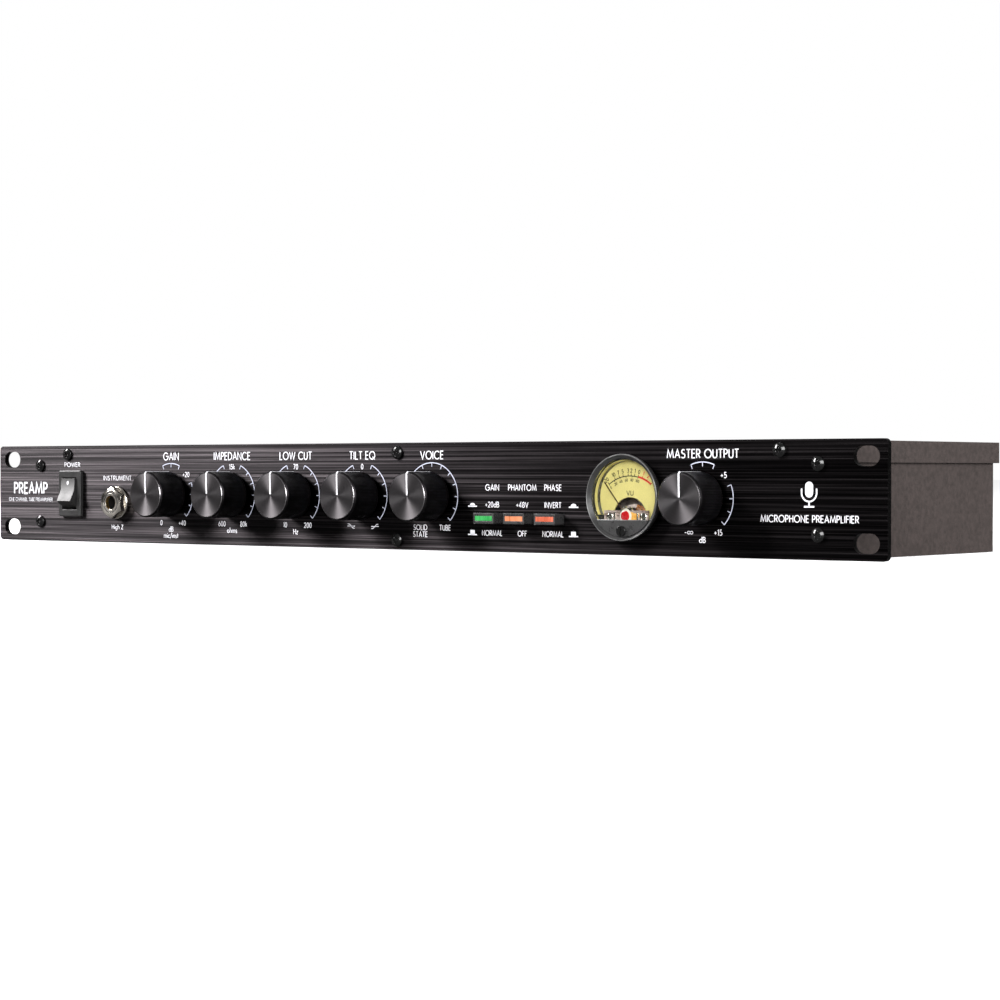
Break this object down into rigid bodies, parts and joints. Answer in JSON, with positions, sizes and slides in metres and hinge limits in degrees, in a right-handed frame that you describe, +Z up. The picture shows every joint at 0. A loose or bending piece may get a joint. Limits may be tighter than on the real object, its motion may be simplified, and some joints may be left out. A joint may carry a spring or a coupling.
{
  "type": "microphone preamp",
  "caption": "One-rack-unit tube microphone preamp: brushed front panel with rotary knobs, lit push buttons, needle meter, instrument jack and power rocker on a steel case.",
  "frame": {"origin": "centre of the four rack slots on the rear face of the front panel, which meets the rack rails", "axes": "+X to the right along the panel, +Y into the unit from the panel to the rear, +Z up"},
  "size_m": [0.4826, 0.1473, 0.0444],
  "materials": {
    "panel_black": "brushed, black anodised",
    "case_paint": "fine textured grey-brown paint",
    "black_screw": "black oxide",
    "rocker_plastic": "satin",
    "paddle_plastic": "gloss",
    "brass": "tinned and plain",
    "nickel": "bright nickel plate",
    "zinc": "zinc plate",
    "dark_plastic": "moulded satin",
    "pale_plastic": "moulded",
    "meter_plastic": "moulded satin gloss",
    "window": "clear",
    "scale_card": "cream, printed",
    "needle": "painted dark",
    "movement_metal": "lacquered",
    "black_gloss": "gloss",
    "circuit_board": "green solder mask",
    "tube_glass": "clear with silver getter",
    "ceramic": "glazed",
    "winding_tape": "yellow film tape over copper",
    "capacitor_sleeve": "shrink sleeve",
    "heat_sink": "black anodised",
    "wire_sleeve": "insulated wire",
    "inlet_plastic": "moulded",
    "connector_metal": "black chrome",
    "knob_black": "spun face, knurled side, black anodised",
    "lens_green": "translucent",
    "lens_amber": "translucent",
    "lens_red": "translucent"
  },
  "bodies": {
    "case": {"front_panel": "panel_black", "chassis_tray": "case_paint", "top_cover": "case_paint", "panel_screws": "black_screw", "cover_screws": "black_screw", "rocker_frame": "rocker_plastic", "rocker_terminals": "brass", "instrument_jack": "nickel", "output_jack": "nickel", "jack_washers": "nickel", "jack_nuts": "nickel", "pot_bodies": "zinc", "pot_nuts": "nickel", "switch_bodies": "dark_plastic", "meter_bezel": "meter_plastic", "meter_window": "window", "meter_scale": "scale_card", "meter_movement": "movement_metal", "meter_housing": "meter_plastic", "control_boards": "circuit_board", "main_board": "circuit_board", "board_spacers": "brass", "board_screws": "zinc", "vacuum_tube": "tube_glass", "tube_socket": "ceramic", "power_transformer": "winding_tape", "transformer_clamp": "zinc", "capacitors": "capacitor_sleeve", "heat_sink": "heat_sink", "mains_wires": "wire_sleeve", "mains_inlet": "inlet_plastic", "mic_input": "connector_metal", "line_output": "connector_metal", "connector_screws": "black_screw"},
    "gain_control": {"gain_knob": "knob_black", "gain_shaft": "zinc"},
    "impedance_control": {"impedance_knob": "knob_black", "impedance_shaft": "zinc"},
    "low_cut_control": {"low_cut_knob": "knob_black", "low_cut_shaft": "zinc"},
    "tilt_control": {"tilt_knob": "knob_black", "tilt_shaft": "zinc"},
    "voice_control": {"voice_knob": "knob_black", "voice_shaft": "zinc"},
    "master_control": {"master_knob": "knob_black", "master_shaft": "zinc"},
    "boost_push": {"boost_button": "dark_plastic", "boost_lens": "lens_green", "boost_plunger": "pale_plastic"},
    "phantom_push": {"phantom_button": "dark_plastic", "phantom_lens": "lens_amber", "phantom_plunger": "pale_plastic"},
    "phase_push": {"phase_button": "dark_plastic", "phase_lens": "lens_red", "phase_plunger": "pale_plastic"},
    "power_paddle": {"rocker_paddle": "paddle_plastic"},
    "needle": {"meter_needle": "needle"},
    "zero_adjust": {"meter_zero_screw": "black_gloss"},
    "fuse_holder": {"fuse_drawer": "inlet_plastic"},
    "latch": {"mic_input_latch": "nickel"}
  },
  "joints": [
    {"name": "gain_turn", "type": "hinge", "parent": "case", "child": "gain_control", "pos_m": [-0.125, 0, 0], "axis": [0, 1, 0], "range_deg": [-135, 135]},
    {"name": "impedance_turn", "type": "hinge", "parent": "case", "child": "impedance_control", "pos_m": [-0.08676, 0, 0], "axis": [0, 1, 0], "range_deg": [-135, 135]},
    {"name": "low_cut_turn", "type": "hinge", "parent": "case", "child": "low_cut_control", "pos_m": [-0.04852, 0, 0], "axis": [0, 1, 0], "range_deg": [-135, 135]},
    {"name": "tilt_turn", "type": "hinge", "parent": "case", "child": "tilt_control", "pos_m": [-0.01028, 0, 0], "axis": [0, 1, 0], "range_deg": [-135, 135]},
    {"name": "voice_turn", "type": "hinge", "parent": "case", "child": "voice_control", "pos_m": [0.02796, 0, 0], "axis": [0, 1, 0], "range_deg": [-135, 135]},
    {"name": "master_turn", "type": "hinge", "parent": "case", "child": "master_control", "pos_m": [0.1616, 0, 0], "axis": [0, 1, 0], "range_deg": [-135, 135]},
    {"name": "boost_press", "type": "slide", "parent": "case", "child": "boost_push", "axis": [0, 1, 0], "range_m": [0, 0.003], "stiffness_N_per_m": 150, "springref_m": -0.002},
    {"name": "phantom_press", "type": "slide", "parent": "case", "child": "phantom_push", "axis": [0, 1, 0], "range_m": [0, 0.003], "stiffness_N_per_m": 150, "springref_m": -0.002},
    {"name": "phase_press", "type": "slide", "parent": "case", "child": "phase_push", "axis": [0, 1, 0], "range_m": [0, 0.003], "stiffness_N_per_m": 150, "springref_m": -0.002},
    {"name": "power_rock", "type": "hinge", "parent": "case", "child": "power_paddle", "pos_m": [-0.1905, -0.0007, 0], "axis": [1, 0, 0], "range_deg": [0, 32]},
    {"name": "needle_swing", "type": "hinge", "parent": "case", "child": "needle", "pos_m": [0.1265, 0, -0.0082], "axis": [0, 1, 0], "range_deg": [0, 77.6], "stiffness_Nm_per_rad": 0.00002, "springref_deg": -20.05},
    {"name": "zero_turn", "type": "hinge", "parent": "case", "child": "zero_adjust", "pos_m": [0.1265, 0, -0.0128], "axis": [0, 1, 0], "continuous": true},
    {"name": "fuse_drawer_slide", "type": "slide", "parent": "case", "child": "fuse_holder", "axis": [0, 1, 0], "range_m": [0, 0.016]},
    {"name": "latch_press", "type": "slide", "parent": "case", "child": "latch", "axis": [0, -1, 0], "range_m": [0, 0.0015], "stiffness_N_per_m": 300, "springref_m": -0.002}
  ]
}
